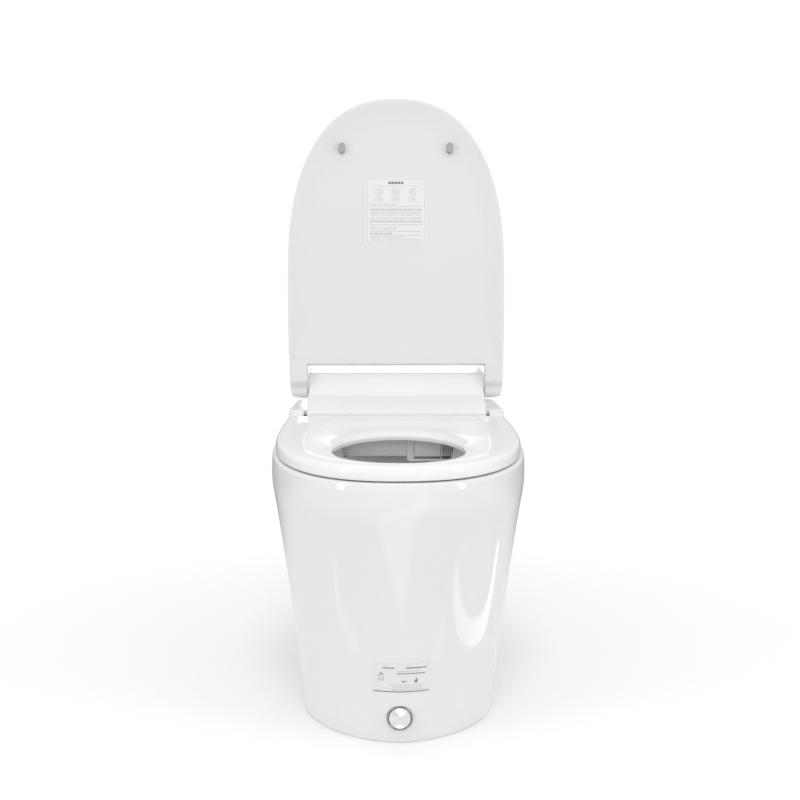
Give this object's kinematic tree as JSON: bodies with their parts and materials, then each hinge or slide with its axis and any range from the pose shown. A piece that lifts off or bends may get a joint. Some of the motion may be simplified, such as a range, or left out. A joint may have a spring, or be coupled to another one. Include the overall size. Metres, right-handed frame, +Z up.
{
  "type": "electric bidet toilet",
  "caption": "One-piece toilet with a heated bidet seat, soft-closing lid, sliding wash wand behind a shutter, warm-air dryer and foot flush button.",
  "frame": {"origin": "on the floor, at the middle of the overall box", "axes": "+Z up; -Y is the front, where a user stands; +X is the right-hand side seen from the front"},
  "size_m": [0.397, 0.677, 0.9744],
  "materials": {
    "ceramic": "glossy glaze",
    "seat_white": "gloss",
    "lid_white": "gloss",
    "casing_white": "gloss",
    "wand_white": "satin",
    "trap_grey": "satin",
    "rubber_grey": "matt",
    "hose_grey": "satin",
    "steel": "satin",
    "motor_steel": "satin",
    "chrome": "polished",
    "brass": "satin",
    "black_plastic": "matt",
    "grey_plastic": "matt",
    "pale_plastic": "matt",
    "board_green": "satin",
    "heater_foil": "satin",
    "label_film": "satin"
  },
  "bodies": {
    "base": {"ceramic_body": "ceramic", "trap_pipe": "trap_grey", "outlet_seal": "rubber_grey", "floor_brackets": "steel", "floor_screws": "steel", "side_caps": "casing_white", "flush_hose": "hose_grey", "flush_pump": "black_plastic", "casing_base": "casing_white", "casing_top": "casing_white", "tray_cover": "casing_white", "casing_screws": "steel", "casing_clamps": "steel", "wash_bezel": "casing_white", "dryer_grille": "casing_white", "wand_motor": "motor_steel", "wand_guide": "pale_plastic", "blower_housing": "grey_plastic", "blower_motor": "motor_steel", "dryer_duct": "grey_plastic", "inlet_fitting": "brass", "inlet_filter": "grey_plastic", "solenoid_valve": "black_plastic", "heater_tank": "trap_grey", "diverter_valve": "grey_plastic", "air_pump": "black_plastic", "water_hoses": "hose_grey", "main_board": "board_green", "power_supply": "motor_steel", "board_cover": "grey_plastic", "cable_gland": "rubber_grey", "seat_sensor": "black_plastic", "hinge_bushes": "grey_plastic", "seat_damper": "grey_plastic", "lid_damper": "grey_plastic", "button_ring": "chrome", "button_spring": "steel", "button_switch": "black_plastic", "body_label": "label_film"},
    "lid": {"lid_shell": "lid_white", "lid_panel": "lid_white", "lid_pins": "steel", "lid_bumpers": "rubber_grey", "lid_label": "label_film"},
    "seat": {"seat_top": "seat_white", "seat_base": "seat_white", "seat_heater": "heater_foil", "seat_bumpers": "rubber_grey", "seat_pins": "steel"},
    "wand": {"wand_tube": "wand_white", "wand_tip": "wand_white", "wand_rack": "pale_plastic", "wand_shutter": "casing_white"},
    "pinion": {"wand_pinion": "pale_plastic"},
    "fan": {"blower_fan": "black_plastic"},
    "impeller": {"pump_impeller": "black_plastic"},
    "button": {"button_cap": "chrome"}
  },
  "joints": [
    {"name": "lid_hinge", "type": "hinge", "parent": "base", "child": "lid", "pos_m": [0, 0.1965, 0.461], "axis": [-1, 0, 0], "range_deg": [-103, 0]},
    {"name": "seat_hinge", "type": "hinge", "parent": "base", "child": "seat", "pos_m": [0, 0.1705, 0.424], "axis": [-1, 0, 0], "range_deg": [0, 92]},
    {"name": "wand_slide", "type": "slide", "parent": "base", "child": "wand", "axis": [0, -0.9962, -0.0872], "range_m": [0, 0.105]},
    {"name": "pinion_spin", "type": "hinge", "parent": "base", "child": "pinion", "pos_m": [0.031, 0.06735, 0.38981], "axis": [0, -0.0872, 0.9962], "range_deg": [-755, 0]},
    {"name": "fan_spin", "type": "hinge", "parent": "base", "child": "fan", "pos_m": [0.088, 0.1705, 0.39], "axis": [0, 0, 1], "continuous": true},
    {"name": "impeller_spin", "type": "hinge", "parent": "base", "child": "impeller", "pos_m": [0, 0.2385, 0.087], "axis": [0, 0, 1], "continuous": true},
    {"name": "button_press", "type": "slide", "parent": "base", "child": "button", "axis": [0, 1, 0], "range_m": [0, 0.006], "stiffness_N_per_m": 400}
  ],
  "couplings": [
    {"joint": "pinion_spin", "follows": "wand_slide", "rad_per_m": -125}
  ]
}
